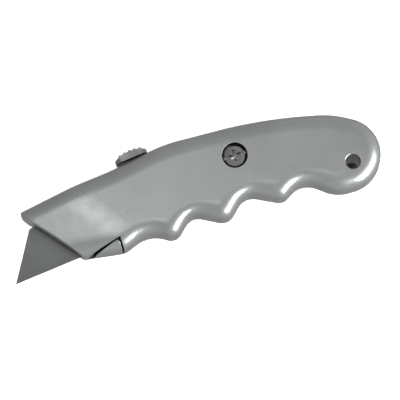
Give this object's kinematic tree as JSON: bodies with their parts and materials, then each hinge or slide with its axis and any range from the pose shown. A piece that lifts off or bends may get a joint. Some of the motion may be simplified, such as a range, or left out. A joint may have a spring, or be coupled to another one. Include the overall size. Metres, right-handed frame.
{
  "type": "retractable utility knife",
  "caption": "Retractable utility knife: contoured split metal handle, sliding thumb button, trapezoid blade, spare blade store, captive screw and lanyard hole.",
  "frame": {"origin": "under the middle of the knife's box, on the surface that it lies on with its left side up", "axes": "+X from the nose to the butt along the cutting edge, +Y toward the spine and thumb button, +Z through the thickness, out of the side with the screw"},
  "size_m": [0.159, 0.051, 0.02],
  "materials": {
    "body_paint": "satin silver-grey paint over an aluminium die casting",
    "blade_steel": "ground carbon steel, dull grey with a bright cutting bevel",
    "cast_zinc": "as-cast zinc",
    "button_metal": "tumbled and plated zinc, satin",
    "screw_plate": "bright plated steel",
    "spring_steel": "blued spring steel",
    "sheet_steel": "zinc-plated sheet",
    "insert_brass": "turned brass"
  },
  "bodies": {
    "handle": {"right_body_half": "body_paint", "screw_insert": "insert_brass", "locating_pins": "spring_steel", "magazine_plate": "sheet_steel", "spare_blade_1": "blade_steel", "spare_blade_2": "blade_steel", "spare_blade_3": "blade_steel", "spare_blade_4": "blade_steel", "spare_blade_5": "blade_steel"},
    "cover": {"left_body_half": "body_paint"},
    "carriage": {"blade_carrier": "cast_zinc", "detent_spring": "spring_steel", "blade": "blade_steel"},
    "button": {"thumb_button": "button_metal"},
    "screw_ring": {"screw_retaining_ring": "spring_steel"},
    "screw": {"body_screw": "screw_plate"}
  },
  "joints": [
    {"name": "blade_slide", "type": "slide", "parent": "handle", "child": "carriage", "axis": [1, 0, 0], "range_m": [0, 0.03], "deforming": ["detent_spring"]},
    {"name": "button_press", "type": "slide", "parent": "carriage", "child": "button", "axis": [0, -1, 0], "range_m": [0, 0.00085], "stiffness_N_per_m": 800, "springref_m": -0.0015},
    {"name": "cover_lift", "type": "slide", "parent": "handle", "child": "cover", "axis": [0, 0, 1], "range_m": [0, 0.02]},
    {"name": "screw_rise", "type": "slide", "parent": "cover", "child": "screw_ring", "axis": [0, 0, 1], "range_m": [0, 0.0045]},
    {"name": "screw_turn", "type": "hinge", "parent": "screw_ring", "child": "screw", "pos_m": [0.0228, 0.0056, 0.01], "axis": [0, 0, 1], "range_deg": [0, 2025.1]}
  ],
  "couplings": [
    {"joint": "screw_turn", "follows": "screw_rise", "rad_per_m": 7854}
  ]
}
